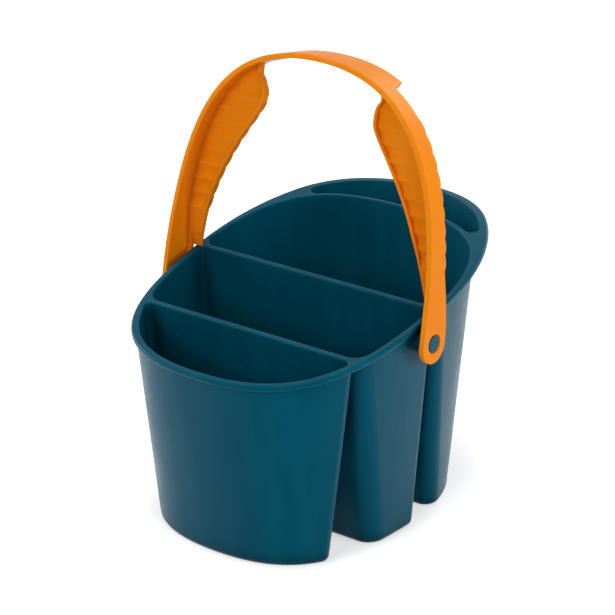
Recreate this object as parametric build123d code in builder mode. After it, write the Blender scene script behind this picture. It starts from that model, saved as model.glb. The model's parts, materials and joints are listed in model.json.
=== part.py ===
"""Brush-washing bucket: three cups in one moulding, a rear pocket and a swinging handle.

The frame has X across the bucket, Y from the front (-) to the rear (+) and Z up.
The origin is on the base plane, under the middle of the bounding box.  All sizes are millimetres.
"""
from build123d import *
from math import cos, radians, sin, sqrt, tan
import os

# ---------------------------------------------------------------- driving dimensions
# Rim, seen from above: a full curve at the front and close to an ellipse behind.
rim_half_width = 70.7
rim_front_reach = 94.0
rim_rear_reach = 95.0
front_fullness = 0.73
rear_fullness = 0.585

# Rim, seen from the side: it climbs to the rear and bends level at the end.
rim_front_height = 95.0
rim_slope = 10.5
rim_bend_y = 58.0
rim_bend_radius = 152.0

# Lip around the rim.
lip_overhang = 1.6
lip_height = 3.0
lip_width = 2.5
lip_rounding = 1.2

# Walls and floors of the cups.
wall = 1.7
floor_thickness = 2.0
cup_front_corner_radius = 10.0
cup_rear_corner_radius = 4.2
cup_base_radius = 3.8
hollow_rear_corner_radius = 2.5
hollow_base_radius = 1.2
rim_edge_rounding = 0.6

# How far each wall leans in between the rim and the base.
side_draft = 8.2
front_draft = 6.7
front_cup_rear_draft = 4.8
middle_cup_front_draft = 14.4
middle_cup_rear_draft = 5.2
rear_cup_front_draft = 10.7
rear_cup_back_draft = 15.1

# Dividers between the cups.
front_divider_y = -54.3
rear_divider_y = -4.0
divider_ridge = 3.0
divider_seam_depth = 8.0
divider_seam_inset = 12.0

# Rear cup, whose back wall is a rounder curve than the rim.
rear_cup_half_width = 70.3
rear_cup_centre_y = -18.0
rear_cup_reach = 84.3
rear_cup_side_draft = 9.4
rear_cup_fullness = 0.764
rear_cup_corner_radius = 7.0
rear_cup_base_radius = 3.0

# Deck that joins the cups to the rim, flush with it.
deck_thickness = 2.2

# Pocket between the rear cup and the rim.
pocket_front_y = 56.0
pocket_depth = 22.0
pocket_draft = 6.0
pocket_corner_radius = 4.0

# Handle: an arch of flat band, hinged at both sides of the bucket.
pivot_y = -15.8
pivot_height = 100.4
handle_lean = 11.6
arch_half_width = 76.5
arch_reach = 118.8
arch_fullness = 0.697
band_thickness = 2.4
eye_radius = 8.7
eye_drop = 0.8
leg_front = 7.1
leg_back = 3.8
leg_taper = 60.0
grip_back = 12.7
grip_step = 109.8
grip_step_run = 1.7

# Brush rest: a scalloped web along the back of each leg.
scallop_pitch = 7.4
scallop_depth = 0.9
scallop_count = 9
scallop_start = 33.0
web_thickness = 1.9
web_back = 4.3
web_lean = 0.05
web_foot = 13.1
web_foot_front = 5.5
web_foot_half_width = 66.0
web_foot_land = 0.6
web_foot_bevel = 7.0
web_toe = 6.0
web_toe_clearance = 0.7
web_waist = 93.4
web_half_gap = 31.2
web_top = 104.2
web_top_half_gap = 34.5
web_lip_thickness = 1.4
web_lip_depth = 3.2
web_lip_run_out = 45.0
web_lip_foot = 20.0
web_lip_foot_front = 4.3

# Hinge: a headed pin in a boss under the rim, through the eye of each leg.
boss_radius = 5.5
boss_gap = 0.35
pin_radius = 3.0
pin_seat_depth = 6.0
pin_running_clearance = 0.05
pin_head_radius = 3.9
pin_head_thickness = 0.8
pin_head_recess_radius = 4.6
pin_head_gap = 0.1

# ---------------------------------------------------------------- sizes that follow
widest_y = (rim_front_reach - rim_rear_reach) / 2
rim_front_y = widest_y - rim_front_reach
rim_rear_y = widest_y + rim_rear_reach
slope = tan(radians(rim_slope))
headroom = 4.0


def rim_height(y):
    """Height of the straight part of the rim, and of its continuation, at station y."""
    return rim_front_height + slope * (y - rim_front_y)


def rim_surface(y):
    """Height of the rim at station y, with the bend at the rear taken into account."""
    if y < rim_bend_y:
        return rim_height(y)
    bend_centre = rim_bend_y + rim_bend_radius * sin(radians(rim_slope))
    crown = rim_height(rim_bend_y) + rim_bend_radius * (1 - cos(radians(rim_slope)))
    return crown - rim_bend_radius + sqrt(rim_bend_radius**2 - (y - bend_centre) ** 2)


def is_on_rim(edge):
    """True for an edge that lies in the surface of the rim."""
    middle = edge.position_at(0.5)
    return abs(middle.Z - rim_surface(middle.Y)) < rim_edge_rounding / 2


def above_rim(at_rim, draft):
    """Size of a drafted form where it is carried past the rim by the headroom."""
    return at_rim + draft * headroom / rim_height(widest_y)


# Plane of the straight rim, raised by the headroom. Its local y is longer than the plan's y.
rim_plane = Plane(
    origin=(0, widest_y, rim_height(widest_y) + headroom),
    x_dir=(1, 0, 0),
    z_dir=(0, -sin(radians(rim_slope)), cos(radians(rim_slope))),
)
along_slope = 1 / cos(radians(rim_slope))
base_plane = Plane(origin=(0, widest_y, 0))


# ---------------------------------------------------------------- outlines
def quarter(start, corner, end, fullness):
    """Smooth quarter curve from start to end that bulges towards the corner."""
    a = Vector(*start)
    b = Vector(*corner)
    c = Vector(*end)
    return Bezier(a, a + (b - a) * fullness, c + (b - c) * fullness, c)


def plan_outline(plane, half_width, front_reach, rear_reach, stretch=1.0):
    """Closed plan outline of the bucket, widest at the plane's origin."""
    front = -front_reach * stretch
    rear = rear_reach * stretch
    with BuildSketch(plane) as plan:
        with BuildLine():
            for side in (-half_width, half_width):
                quarter((side, 0), (side, front), (0, front), front_fullness)
                quarter((side, 0), (side, rear), (0, rear), rear_fullness)
        make_face()
    return plan.sketch


def rear_curve(plane, centre, half_width, reach, stretch=1.0):
    """Plan outline of the rear cup: a full curve behind and a square front."""
    apex = (centre + reach) * stretch
    middle = centre * stretch
    with BuildSketch(plane) as plan:
        with BuildLine():
            for side in (-half_width, half_width):
                quarter((side, middle), (side, apex), (0, apex), rear_cup_fullness)
            Line((-half_width, middle), (half_width, middle))
        make_face()
    return plan.sketch


def rim_curve(drop):
    """Side view of the rim, lowered by drop: a straight slope and then a bend."""
    bend = (rim_bend_y, rim_height(rim_bend_y) - drop)
    front = rim_front_y - headroom
    Line((front, rim_height(front) - drop), bend)
    JernArc(bend, (1, slope), rim_bend_radius, -1.6 * rim_slope)


def rim_band(top, bottom):
    """Side view of a layer that follows the rim, between two drops below it."""
    with BuildSketch(Plane.YZ) as band:
        with BuildLine() as edges:
            rim_curve(top)
            rim_curve(bottom)
            ends = edges.vertices().sort_by(Axis.X)
            Line(ends[0], ends[1])
            Line(ends[-2], ends[-1])
        make_face()
    return band.sketch


def cup_window(front_at_base, front_at_rim, rear_at_base, rear_at_rim):
    """Keep one cup: what lies between its drafted front and rear faces."""
    top = rim_height(rim_rear_y)
    front_at_top = front_at_base + (front_at_rim - front_at_base) * top / rim_height(front_at_rim)
    rear_at_top = rear_at_base + (rear_at_rim - rear_at_base) * top / rim_height(rear_at_rim)
    corners = ((front_at_base, 0), (rear_at_base, 0), (rear_at_top, top), (front_at_top, top))
    with BuildSketch(Plane.YZ) as window:
        Polygon(*corners, align=None)
    extrude(window.sketch, amount=2 * rim_half_width, both=True, mode=Mode.INTERSECT)


# ---------------------------------------------------------------- cups
def body_loft(inset):
    """The drafted outside of the bucket, or its inside when inset by the wall."""
    top = (
        rim_half_width - lip_overhang - inset,
        rim_front_reach - lip_overhang - inset,
        rim_rear_reach - lip_overhang - inset,
    )
    at_base = plan_outline(
        base_plane, top[0] - side_draft, top[1] - front_draft, top[2] - front_draft
    )
    at_rim = plan_outline(
        rim_plane,
        above_rim(top[0], side_draft),
        above_rim(top[1], front_draft),
        above_rim(top[2], front_draft),
        along_slope,
    )
    loft([at_base, at_rim], ruled=True)


def rear_loft(inset):
    """The drafted rear cup, before its front face is cut."""
    centre = rear_cup_centre_y - widest_y
    half_width = rear_cup_half_width - inset
    reach = rear_cup_reach - inset
    at_base = rear_curve(
        base_plane, centre, half_width - rear_cup_side_draft, reach - rear_cup_back_draft
    )
    at_rim = rear_curve(
        rim_plane,
        centre,
        above_rim(half_width, rear_cup_side_draft),
        above_rim(reach, rear_cup_back_draft),
        along_slope,
    )
    loft([at_base, at_rim], ruled=True)


def upright_edges(cup, front, rear):
    """Edges at the sides of a cup, between two stations, that climb more than they run."""
    def is_upright(edge):
        size = edge.bounding_box().size
        middle = edge.position_at(0.5)
        return size.Z > max(size.X, size.Y) and abs(middle.X) > wall and front < middle.Y < rear
    return cup.edges().filter_by(is_upright)


def cut_base(cup, base, base_radius):
    """Cut a cup off at its base and round the edge there."""
    split(bisect_by=Plane.XY.offset(base))
    fillet(cup.faces().sort_by(Axis.Z)[0].edges(), base_radius)


def front_cup(inset, base, rear_radius, base_radius):
    """The front cup: the curved front of the bucket with a flat rear wall."""
    with BuildPart() as cup:
        body_loft(inset)
        cup_window(ahead, ahead, front_cup_rear[0] - inset, front_cup_rear[1] - inset)
        fillet(upright_edges(cup, ahead, behind), rear_radius)
        cut_base(cup, base, base_radius)
    return cup.part


def middle_cup(inset, base, rear_radius, base_radius):
    """The middle cup, with round corners in front and tight corners behind."""
    front = (middle_cup_front[0] + inset, middle_cup_front[1] + inset)
    rear = (middle_cup_rear[0] - inset, middle_cup_rear[1] - inset)
    between = (front[0] + rear[0]) / 2
    with BuildPart() as cup:
        body_loft(inset)
        cup_window(*front, *rear)
        fillet(upright_edges(cup, ahead, between), cup_front_corner_radius - inset)
        fillet(upright_edges(cup, between, behind), rear_radius)
        cut_base(cup, base, base_radius)
    return cup.part


def rear_cup(inset, base, base_radius):
    """The rear cup, whose sides and back are a rounder curve than the rim."""
    with BuildPart() as cup:
        rear_loft(inset)
        cup_window(rear_cup_front[0] + inset, rear_cup_front[1] + inset, behind, behind)
        fillet(upright_edges(cup, ahead, behind), rear_cup_corner_radius - inset)
        cut_base(cup, base, base_radius)
    return cup.part


# ---------------------------------------------------------------- bucket
ahead = 2 * rim_front_y
behind = 2 * rim_rear_y


def drafted_face(divider_y, side, draft):
    """Stations of a cup's face at a divider, at the base and at the rim; side is -1 in front."""
    at_rim = divider_y + side * (divider_ridge / 2 - wall)
    return (at_rim + side * draft, at_rim)


front_cup_rear = drafted_face(front_divider_y, -1, front_cup_rear_draft)
middle_cup_front = drafted_face(front_divider_y, 1, middle_cup_front_draft)
middle_cup_rear = drafted_face(rear_divider_y, -1, middle_cup_rear_draft)
rear_cup_front = drafted_face(rear_divider_y, 1, rear_cup_front_draft)


def pocket_block(inset, front, base):
    """The outside of the rear pocket, or its hollow when inset by the wall."""
    half_width = rim_half_width - lip_overhang - inset
    reach = rim_rear_reach - lip_overhang - inset
    floor_plane = base_plane.offset(base)
    with BuildPart() as block:
        at_base = plan_outline(
            floor_plane, half_width - pocket_draft, reach - pocket_draft, reach - pocket_draft
        )
        at_rim = plan_outline(rim_plane, half_width, reach, reach, along_slope)
        loft([at_base, at_rim], ruled=True)
        with BuildSketch(floor_plane) as behind:
            with Locations((0, front - widest_y)):
                Rectangle(2 * half_width, reach, align=(Align.CENTER, Align.MIN))
        extrude(behind.sketch, amount=rim_height(rim_rear_y), mode=Mode.INTERSECT)
        upright = block.edges().filter_by(lambda edge: edge.bounding_box().size.Z > pocket_depth / 2)
        ends = upright.filter_by(lambda edge: abs(edge.position_at(0.5).X) > pocket_corner_radius)
        fillet(ends, pocket_corner_radius - inset / 2)
        fillet(block.faces().sort_by(Axis.Z)[0].edges(), pocket_corner_radius - inset / 2)
    return block.part


def rim_outline(inset):
    """Half width, front reach and rear reach of the rim, inset all round."""
    return (rim_half_width - inset, rim_front_reach - inset, rim_rear_reach - inset)


def rim_layer(top, bottom, inset):
    """A plate that follows the rim, between two drops below it."""
    tall = 2 * rim_height(rim_rear_y)
    with BuildPart() as layer:
        extrude(plan_outline(base_plane, *rim_outline(inset)), amount=tall)
        extrude(rim_band(top, bottom), amount=2 * rim_half_width, both=True, mode=Mode.INTERSECT)
    return layer.part


def divider_seam(divider_y):
    """The solid top of a divider, where the walls of two cups run together."""
    with BuildPart() as seam:
        add(rim_layer(-wall, divider_seam_depth, divider_seam_inset))
        with BuildSketch(Plane.XZ.offset(-divider_y)) as across:
            Rectangle(4 * rim_half_width, 4 * rim_height(rim_rear_y))
        extrude(across.sketch, amount=divider_ridge / 2, both=True, mode=Mode.INTERSECT)
    return seam.part


def boss(side):
    """A round post standing out of a side wall as far as the handle."""
    with BuildSketch(hinge_plane) as outline:
        Circle(boss_radius)
    extrude(outline.sketch, amount=side * boss_end)


def pin_seat(side):
    """The blind bore in a boss that the pivot pin is pressed into."""
    with BuildSketch(hinge_plane.offset(side * (boss_end - pin_seat_depth))) as outline:
        Circle(pin_radius)
    extrude(outline.sketch, amount=side * 2 * pin_seat_depth, mode=Mode.SUBTRACT)


pocket_base = rim_height(rim_bend_y) - pocket_depth
boss_end = arch_half_width - band_thickness - boss_gap
hinge_plane = Plane(origin=(0, pivot_y, pivot_height), x_dir=(0, 1, 0), z_dir=(1, 0, 0))

with BuildPart() as lip:
    add(rim_layer(0, lip_height, 0))
    fillet(lip.edges().filter_by(GeomType.BSPLINE), lip_rounding)
    inner_outline = plan_outline(base_plane, *rim_outline(lip_width))
    extrude(inner_outline, amount=2 * rim_height(rim_rear_y), mode=Mode.SUBTRACT)

outsides = [
    front_cup(0, 0, cup_rear_corner_radius, cup_base_radius),
    middle_cup(0, 0, cup_rear_corner_radius, cup_base_radius),
    rear_cup(0, 0, rear_cup_base_radius),
]
hollows = [
    front_cup(wall, floor_thickness, hollow_rear_corner_radius, hollow_base_radius),
    middle_cup(wall, floor_thickness, hollow_rear_corner_radius, hollow_base_radius),
    rear_cup(wall, floor_thickness, hollow_base_radius),
]

with BuildPart() as pocket_hollow:
    add(pocket_block(wall, pocket_front_y + wall, pocket_base + floor_thickness))
    add(outsides[-1], mode=Mode.SUBTRACT)

with BuildPart() as bucket_body:
    for outside in outsides:
        add(outside)
    add(pocket_block(0, pocket_front_y, pocket_base))
    add(rim_layer(0, deck_thickness, lip_overhang + wall / 3))
    add(lip.part)
    add(divider_seam(front_divider_y))
    add(divider_seam(rear_divider_y))
    boss(-1)
    boss(1)
    extrude(rim_band(-4 * headroom, 0), amount=2 * rim_half_width, both=True, mode=Mode.SUBTRACT)
    for hollow in hollows:
        add(hollow, mode=Mode.SUBTRACT)
        fillet(bucket_body.edges(Select.LAST).filter_by(is_on_rim), rim_edge_rounding)
    add(pocket_hollow.part, mode=Mode.SUBTRACT)
    pin_seat(-1)
    pin_seat(1)
bucket_body.part.label = "bucket_body"


# ---------------------------------------------------------------- handle
# Front view of the handle: local X is across and local Y is up along the legs from the hinge.
handle_front = Plane(
    origin=(0, pivot_y, pivot_height),
    x_dir=(1, 0, 0),
    z_dir=(0, -cos(radians(handle_lean)), sin(radians(handle_lean))),
)
# Side view of the handle: local X is up along the legs and local Y is towards the back.
handle_side = Plane(
    origin=(0, pivot_y, pivot_height),
    x_dir=handle_front.y_dir,
    z_dir=(-1, 0, 0),
)
web_foot_back = web_foot_front + web_thickness
web_toe_half_gap = rim_half_width + web_toe_clearance
scallop_end = scallop_start + scallop_count * scallop_pitch
beyond = 1.2 * arch_reach


def arch(inset):
    """Front view of everything inside the arch, down to the lower ends of its legs."""
    half_width = arch_half_width - inset
    top = arch_reach - inset
    with BuildSketch(handle_front) as outline:
        with BuildLine():
            for side in (-half_width, half_width):
                quarter((side, 0), (side, top), (0, top), arch_fullness)
            Polyline((-half_width, 0), (-half_width, -2 * eye_radius - inset),
                     (half_width, -2 * eye_radius - inset), (half_width, 0))
        make_face()
    return outline.sketch


def web_surface(along):
    """How far back the brush rest lies, at a distance up along the legs."""
    return web_back - web_lean * (along - scallop_start)


def scallops(back, lean):
    """Side view of a row of grooves that starts at back and leans forward as it climbs."""
    for groove in range(scallop_count):
        start = groove * scallop_pitch
        end = start + scallop_pitch
        SagittaArc(
            (scallop_start + start, back - lean * start),
            (scallop_start + end, back - lean * end),
            scallop_depth,
        )


def leg_profile():
    """Side view of the band: a round eye, a scalloped leg and the deeper grip."""
    foot_slope = (web_foot_back - leg_back) / (scallop_start - web_foot)
    with BuildSketch(handle_side) as profile:
        with Locations((-eye_drop, 0)):
            Circle(eye_radius)
        with BuildLine():
            Bezier(
                (-eye_drop, -eye_radius),
                (0.3 * leg_taper, -eye_radius),
                (0.6 * leg_taper, -leg_front),
                (leg_taper, -leg_front),
            )
            Polyline(
                (leg_taper, -leg_front),
                (beyond, -leg_front),
                (beyond, grip_back),
                (grip_step + grip_step_run, grip_back),
                (grip_step, leg_back),
                (scallop_end, leg_back),
            )
            scallops(leg_back, 0)
            Line((scallop_start, leg_back), (web_foot, web_foot_back))
            Bezier(
                (web_foot, web_foot_back),
                (0.64 * web_foot, web_foot_back + 0.36 * web_foot * foot_slope),
                (0.24 * web_foot, eye_radius),
                (-eye_drop, eye_radius),
            )
            Line((-eye_drop, eye_radius), (-eye_drop, -eye_radius))
        make_face()
    return profile.sketch


def web_profile():
    """Side view of the brush rest: a scalloped sheet with a flat foot and a narrow toe."""
    end = web_surface(scallop_end)
    with BuildSketch(handle_side) as profile:
        with BuildLine():
            scallops(web_back, web_lean)
            Polyline(
                (scallop_end, end),
                (beyond, end),
                (beyond, end - web_thickness),
                (scallop_end, end - web_thickness),
            )
            scallops(web_back - web_thickness, web_lean)
            Polyline(
                (scallop_start, web_back - web_thickness),
                (web_foot, web_foot_front),
                (web_toe, web_foot_front),
                (web_toe, web_foot_back),
                (web_foot, web_foot_back),
                (scallop_start, web_back),
            )
        make_face()
    return profile.sketch


def foot_bevel():
    """Side view of the bevel under the foot, which clears the rim when the handle is folded."""
    corners = (
        (web_foot, web_foot_back - web_foot_land),
        (web_foot + web_foot_bevel, web_foot_front - 1),
        (web_foot, web_foot_front - 1),
    )
    with BuildSketch(handle_side) as profile:
        Polygon(*corners, align=None)
    return profile.sketch


def web_lip_profile():
    """Side view of the lip on the edge of the brush rest, which runs out towards its foot."""
    within_web = (web_thickness + scallop_depth) / 2
    corners = (
        (web_lip_foot, web_lip_foot_front),
        (web_lip_run_out, web_surface(web_lip_run_out) - web_lip_depth),
        (arch_reach, web_surface(arch_reach) - web_lip_depth),
        (arch_reach, web_surface(arch_reach) - within_web),
        (scallop_start, web_back - within_web),
        (web_lip_foot, web_foot_front),
    )
    with BuildSketch(handle_side) as profile:
        Polygon(*corners, align=None)
    return profile.sketch


def hand_opening(margin=0):
    """Front view of the opening between the two brush rests, wider on each side by a margin."""
    toe_x = web_toe_half_gap + margin
    foot_x = web_foot_half_width + margin
    waist_x = web_half_gap + margin
    top_x = web_top_half_gap + margin
    shoulder = web_waist + 9.6
    with BuildSketch(handle_front) as opening:
        with BuildLine():
            for side in (-1, 1):
                foot = (side * foot_x, web_foot)
                waist = (side * waist_x, web_waist)
                top = (side * top_x, web_top)
                Polyline((side * toe_x, 0), (side * toe_x, web_foot), foot)
                Bezier(foot, (side * (foot_x - 8), 63.8), (side * waist_x, 84.4), waist)
                Bezier(waist, (side * waist_x, shoulder), (side * top_x, shoulder), top)
                Line(top, (side * top_x, beyond))
            Line((-toe_x, 0), (toe_x, 0))
            Line((-top_x, beyond), (top_x, beyond))
        make_face()
    return opening.sketch


def through(sketch, mode):
    """Carry a front or side view of the handle right through it."""
    extrude(sketch, amount=beyond, both=True, mode=mode)


def pivot_hole(side):
    """The running hole for a pivot pin, with a recess for the head of the pin."""
    recess_floor = arch_half_width - pin_head_thickness - pin_head_gap
    with BuildSketch(hinge_plane) as shank:
        Circle(pin_radius + pin_running_clearance)
    extrude(shank.sketch, amount=side * beyond, mode=Mode.SUBTRACT)
    with BuildSketch(hinge_plane.offset(side * recess_floor)) as recess:
        Circle(pin_head_recess_radius)
    extrude(recess.sketch, amount=side * beyond, mode=Mode.SUBTRACT)


with BuildPart() as band:
    through(arch(0), Mode.ADD)
    through(arch(band_thickness), Mode.SUBTRACT)
    through(leg_profile(), Mode.INTERSECT)

with BuildPart() as web:
    through(arch(band_thickness / 2), Mode.ADD)
    through(hand_opening(), Mode.SUBTRACT)
    through(web_profile(), Mode.INTERSECT)
    extrude(foot_bevel(), amount=web_toe_half_gap, both=True, mode=Mode.SUBTRACT)

with BuildPart() as web_lip:
    through(hand_opening(web_lip_thickness), Mode.ADD)
    through(arch(band_thickness / 2), Mode.INTERSECT)
    through(hand_opening(), Mode.SUBTRACT)
    through(web_lip_profile(), Mode.INTERSECT)

with BuildPart() as handle:
    add(band.part)
    add(web.part)
    add(web_lip.part)
    pivot_hole(-1)
    pivot_hole(1)
handle.part.label = "handle"


# ---------------------------------------------------------------- pivot pins
def pivot_pin(side):
    """A headed pin, pressed into its boss with the head in the recess of the handle."""
    seat_bottom = boss_end - pin_seat_depth + pin_head_gap
    head = arch_half_width - pin_head_thickness
    with BuildPart() as pin:
        with BuildSketch(hinge_plane.offset(side * seat_bottom)) as shank:
            Circle(pin_radius)
        extrude(shank.sketch, amount=side * (head - seat_bottom))
        with BuildSketch(hinge_plane.offset(side * head)) as cap:
            Circle(pin_head_radius)
        extrude(cap.sketch, amount=side * pin_head_thickness)
    return pin.part


with BuildPart() as pivot_pin_left:
    add(pivot_pin(-1))
pivot_pin_left.part.label = "pivot_pin_left"

with BuildPart() as pivot_pin_right:
    add(pivot_pin(1))
pivot_pin_right.part.label = "pivot_pin_right"


# ---------------------------------------------------------------- export
os.makedirs("parts", exist_ok=True)
export_step(bucket_body.part, "parts/bucket_body.step")
export_step(handle.part, "parts/handle.step")
export_step(pivot_pin_left.part, "parts/pivot_pin_left.step")
export_step(pivot_pin_right.part, "parts/pivot_pin_right.step")
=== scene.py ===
"""Looks of the brush washer: moulded plastics, a pale floor, soft light and the camera.

The frame has X across the bucket, Y from the front (-) to the rear (+) and Z up, in metres.
"""

import json
import math

import bpy
from mathutils import Matrix, Vector

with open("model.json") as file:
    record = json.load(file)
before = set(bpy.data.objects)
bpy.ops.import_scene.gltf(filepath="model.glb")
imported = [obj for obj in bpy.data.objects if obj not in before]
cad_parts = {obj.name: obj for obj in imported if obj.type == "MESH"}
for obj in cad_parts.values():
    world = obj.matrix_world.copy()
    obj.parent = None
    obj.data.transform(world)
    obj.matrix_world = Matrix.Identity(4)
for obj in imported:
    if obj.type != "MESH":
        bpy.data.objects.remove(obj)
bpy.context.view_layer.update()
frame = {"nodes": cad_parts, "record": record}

MM = 0.001

# ---------------------------------------------------------------- camera
CAMERA_AZIMUTH = math.radians(37.34)
CAMERA_ELEVATION = math.radians(23.93)
CAMERA_ROLL = math.radians(-1.18)
CAMERA_DISTANCE = 1.168
CAMERA_TARGET = Vector((0.0063, -0.0178, 0.1016))
SENSOR = 36.0
FRAME_PIXELS = 615
FOCAL_PIXELS = 2500


def camera_axes():
    """Right, up and back directions of the camera, before its roll."""
    back = Vector((
        math.sin(CAMERA_AZIMUTH) * math.cos(CAMERA_ELEVATION),
        -math.cos(CAMERA_AZIMUTH) * math.cos(CAMERA_ELEVATION),
        math.sin(CAMERA_ELEVATION),
    ))
    right = Vector((math.cos(CAMERA_AZIMUTH), math.sin(CAMERA_AZIMUTH), 0))
    return right, back.cross(right), back


def add_camera():
    """The camera, at the photograph's viewing angle and perspective."""
    right, up, back = camera_axes()
    turn = Matrix((right, up, back)).transposed().to_4x4()
    roll = Matrix.Rotation(CAMERA_ROLL, 4, "Z")
    data = bpy.data.cameras.new("camera")
    data.sensor_width = SENSOR
    data.lens = SENSOR * FOCAL_PIXELS / FRAME_PIXELS
    camera = bpy.data.objects.new("camera", data)
    camera.matrix_world = (
        Matrix.Translation(CAMERA_TARGET + back * CAMERA_DISTANCE) @ turn @ roll
    )
    bpy.context.scene.collection.objects.link(camera)
    bpy.context.scene.camera = camera


# ---------------------------------------------------------------- node helpers
class Nodes:
    """Short calls for building one node tree."""

    def __init__(self, tree):
        self.tree = tree
        tree.nodes.clear()

    def add(self, kind, inputs=None, **settings):
        """A node of that kind. An input is a value or another node's output socket."""
        node = self.tree.nodes.new(kind)
        for key, value in settings.items():
            setattr(node, key, value)
        for key, value in (inputs or {}).items():
            if isinstance(value, bpy.types.NodeSocket):
                self.tree.links.new(value, node.inputs[key])
            else:
                node.inputs[key].default_value = value
        return node

    def noise(self, place, scale, detail=3.0, roughness=0.5):
        """Noise of a given number of features to the metre."""
        node = self.add(
            "ShaderNodeTexNoise",
            {"Vector": place, "Scale": scale, "Detail": detail, "Roughness": roughness},
        )
        return node.outputs["Fac"]

    def stretch(self, place, scale):
        """Coordinates scaled along each axis."""
        node = self.add("ShaderNodeMapping", {"Vector": place, "Scale": scale})
        return node.outputs["Vector"]

    def range(self, value, low, high, to_low, to_high):
        """A value carried from one range to another, and held there."""
        limits = {"From Min": low, "From Max": high, "To Min": to_low, "To Max": to_high}
        return self.add("ShaderNodeMapRange", {"Value": value, **limits}).outputs["Result"]

    def math(self, operation, a, b):
        """One sum of two values."""
        return self.add("ShaderNodeMath", {0: a, 1: b}, operation=operation).outputs[0]

    def mix(self, share, a, b):
        """Colour a turning into colour b."""
        node = self.add("ShaderNodeMix", {0: share, 6: a, 7: b}, data_type="RGBA")
        return node.outputs[2]

    def seen_directly(self):
        """1 for what the camera sees, straight or by reflection or through glass, 0 for light."""
        path = self.add("ShaderNodeLightPath")
        glossy = path.outputs["Is Glossy Ray"]
        mirrored = self.math("MAXIMUM", glossy, path.outputs["Is Transmission Ray"])
        return self.math("MAXIMUM", path.outputs["Is Camera Ray"], mirrored)

    def bump(self, height, depth, normal):
        """Relief of a given depth in metres, on top of another normal."""
        inputs = {"Height": height, "Distance": depth, "Strength": 1.0, "Normal": normal}
        return self.add("ShaderNodeBump", inputs).outputs["Normal"]


def srgb(red, green, blue):
    """A colour as it is written on screen, from 0 to 255, as linear light."""
    linear = []
    for channel in (red, green, blue):
        share = channel / 255
        linear.append(share / 12.92 if share <= 0.04045 else ((share + 0.055) / 1.055) ** 2.4)
    return (*linear, 1.0)


# ---------------------------------------------------------------- moulded plastic
# Features to the metre of each noise.
CLOUD_SCALE = 22
FLOW_SCALES = (70, 70, 9)
GRAIN_SCALE = 2600
SMUDGE_SCALE = 48

# Depth of the relief, and how far the roughness wanders to each side.
GRAIN_DEPTH = 0.02 * MM
FLOW_DEPTH = 0.05 * MM
SMOOTHER = 0.05
ROUGHER = 0.07

# Largest share of each second colour.
MOTTLE_SHARE = 0.35
STREAK_SHARE = 0.16
WEAR_SHARE = 0.45
# Painted shade: the most that creases, gaps and hollows turn towards the darker shade colour.
PAINTED_SHADE_SHARE = 0.85


def moulded_plastic(
    name, colour, deep, scuffed, painted_shade, gloss, gloss_tint, roughness, edge_radius, painted_shade_reach
):
    """Injection-moulded plastic: fine grain, flow lines, scuffed edges, and painted shade that
    darkens creases, gaps and hollows.
    """
    material = bpy.data.materials.new(name)
    material.use_nodes = True
    nodes = Nodes(material.node_tree)
    place = nodes.add("ShaderNodeTexCoord").outputs["Object"]

    cloud = nodes.noise(place, CLOUD_SCALE, detail=4)
    flow = nodes.noise(nodes.stretch(place, FLOW_SCALES), 1, detail=5)
    grain = nodes.noise(place, GRAIN_SCALE, detail=2)
    smudge = nodes.noise(place, SMUDGE_SCALE, detail=6, roughness=0.65)

    rounded = nodes.add("ShaderNodeBevel", {"Radius": edge_radius}, samples=6).outputs["Normal"]
    flat = nodes.add("ShaderNodeNewGeometry").outputs["Normal"]
    facing = nodes.add("ShaderNodeVectorMath", {0: rounded, 1: flat}, operation="DOT_PRODUCT")
    edge = nodes.range(facing.outputs["Value"], 0.995, 0.86, 0, 1)
    worn = nodes.math("MULTIPLY", edge, nodes.range(smudge, 0.35, 0.7, 0.25, 1.0))

    mottled = nodes.mix(nodes.range(cloud, 0.3, 0.7, 0, MOTTLE_SHARE), colour, deep)
    streaked = nodes.mix(nodes.range(flow, 0.45, 0.75, 0, STREAK_SHARE), mottled, scuffed)
    tinted = nodes.mix(nodes.math("MULTIPLY", worn, WEAR_SHARE), streaked, scuffed)
    # Painted shade: ambient occlusion darkens the colour where nearby surfaces close in, in
    # creases, gaps and hollows.
    openness = nodes.add("ShaderNodeAmbientOcclusion", {"Distance": painted_shade_reach}, samples=8)
    painted_shade_mask = nodes.range(openness.outputs["AO"], 0.35, 0.95, PAINTED_SHADE_SHARE, 0)
    shaded = nodes.mix(painted_shade_mask, tinted, painted_shade)

    rough = nodes.range(smudge, 0.3, 0.7, roughness - SMOOTHER, roughness + ROUGHER)
    relief = nodes.bump(grain, GRAIN_DEPTH, rounded)
    relief = nodes.bump(flow, FLOW_DEPTH, relief)

    shader = nodes.add(
        "ShaderNodeBsdfPrincipled",
        {
            "Base Color": shaded,
            "Roughness": rough,
            "Specular IOR Level": gloss,
            "Specular Tint": gloss_tint,
            "Normal": relief,
        },
    )
    output = nodes.add("ShaderNodeOutputMaterial")
    nodes.tree.links.new(shader.outputs[0], output.inputs["Surface"])
    return material


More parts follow.
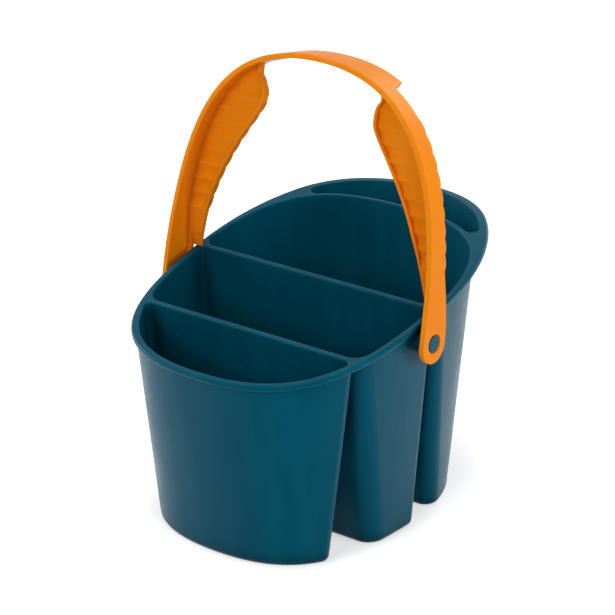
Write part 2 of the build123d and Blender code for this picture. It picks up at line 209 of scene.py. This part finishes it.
def finish_nodes():
    """Give every CAD node its plastic."""
    teal = moulded_plastic(
        "teal_plastic",
        colour=srgb(0, 70, 89),
        deep=srgb(0, 60, 78),
        scuffed=srgb(26, 104, 126),
        # Painted shade colour for creases, gaps and hollows, and how far the occlusion looks for
        # them.
        painted_shade=srgb(0, 34, 46),
        gloss=0.17,
        gloss_tint=srgb(0, 150, 190),
        roughness=0.34,
        edge_radius=0.9 * MM,
        painted_shade_reach=10 * MM,
    )
    orange = moulded_plastic(
        "orange_plastic",
        colour=srgb(228, 131, 12),
        deep=srgb(228, 112, 10),
        scuffed=srgb(230, 168, 64),
        # Painted shade colour for creases, gaps and scallop valleys, and how far the occlusion
        # looks for them.
        painted_shade=srgb(222, 96, 10),
        gloss=0.08,
        gloss_tint=srgb(255, 196, 60),
        roughness=0.36,
        edge_radius=1.1 * MM,
        painted_shade_reach=2 * MM,
    )
    finishes = {"teal_plastic": teal, "orange_plastic": orange}
    slots = {part["node"]: part["material_slot"] for part in frame["record"]["subparts"]}
    for name, node in frame["nodes"].items():
        node.data.materials.clear()
        node.data.materials.append(finishes[slots[name]])


# ---------------------------------------------------------------- floor, world and lamps
FLOOR_SIZE = 12.0
FLOOR_LIFT = 0.5
WORLD_LIGHT = 0.1

# Every lamp looks at the middle of the cups: name, place, side in metres, watts.
LAMP_AIM = (0, 0, 0.1)
SOFTBOXES = (
    ("right", (1.72, 0.2, 0.4), 0.7, 12),
    ("left", (-1.7, -0.3, 0.6), 1.0, 16),
    ("front", (-0.3, -1.6, 1.0), 0.9, 11.5),
    ("corner", (1.2, -0.75, 0.9), 0.5, 6),
    ("back", (0.0, 1.7, 0.6), 1.0, 9),
    ("top", (0.05, 0, 1.9), 0.6, 18),
)


def add_floor():
    """A pale floor that is white to the camera and keeps the shadow."""
    bpy.ops.mesh.primitive_plane_add(size=FLOOR_SIZE, location=(0, 0, 0))
    floor = bpy.context.object
    floor.name = "floor"
    material = bpy.data.materials.new("floor")
    material.use_nodes = True
    nodes = Nodes(material.node_tree)
    place = nodes.add("ShaderNodeTexCoord").outputs["Object"]
    paper = nodes.mix(nodes.noise(place, 3), srgb(238, 238, 238), srgb(242, 242, 242))
    matte = nodes.add("ShaderNodeBsdfDiffuse", {"Color": paper})
    brightness = nodes.math("MULTIPLY", nodes.seen_directly(), FLOOR_LIFT)
    lift = nodes.add("ShaderNodeEmission", {"Strength": brightness})
    both = nodes.add("ShaderNodeAddShader", {0: matte.outputs[0], 1: lift.outputs[0]})
    output = nodes.add("ShaderNodeOutputMaterial")
    nodes.tree.links.new(both.outputs[0], output.inputs["Surface"])
    floor.data.materials.append(material)


def add_world():
    """An even, plain world that the camera sees as white."""
    world = bpy.data.worlds.new("world")
    bpy.context.scene.world = world
    world.use_nodes = True
    nodes = Nodes(world.node_tree)
    strength = nodes.range(nodes.seen_directly(), 0, 1, WORLD_LIGHT, 1.0)
    background = nodes.add("ShaderNodeBackground", {"Strength": strength})
    output = nodes.add("ShaderNodeOutputWorld")
    nodes.tree.links.new(background.outputs[0], output.inputs["Surface"])


def add_softbox(name, place, aim, size, power):
    """A square lamp that looks at a point."""
    data = bpy.data.lights.new(name, "AREA")
    data.size = size
    data.energy = power
    lamp = bpy.data.objects.new(name, data)
    direction = Vector(aim) - Vector(place)
    lamp.matrix_world = (
        Matrix.Translation(place) @ direction.to_track_quat("-Z", "Y").to_matrix().to_4x4()
    )
    bpy.context.scene.collection.objects.link(lamp)


def add_lamps():
    """Large softboxes at both sides, weaker ones in front and behind, and a lamp overhead."""
    for name, place, size, power in SOFTBOXES:
        add_softbox(name, place, LAMP_AIM, size, power)


finish_nodes()
add_floor()
add_world()
add_lamps()
add_camera()

bpy.context.scene.view_settings.view_transform = "Standard"
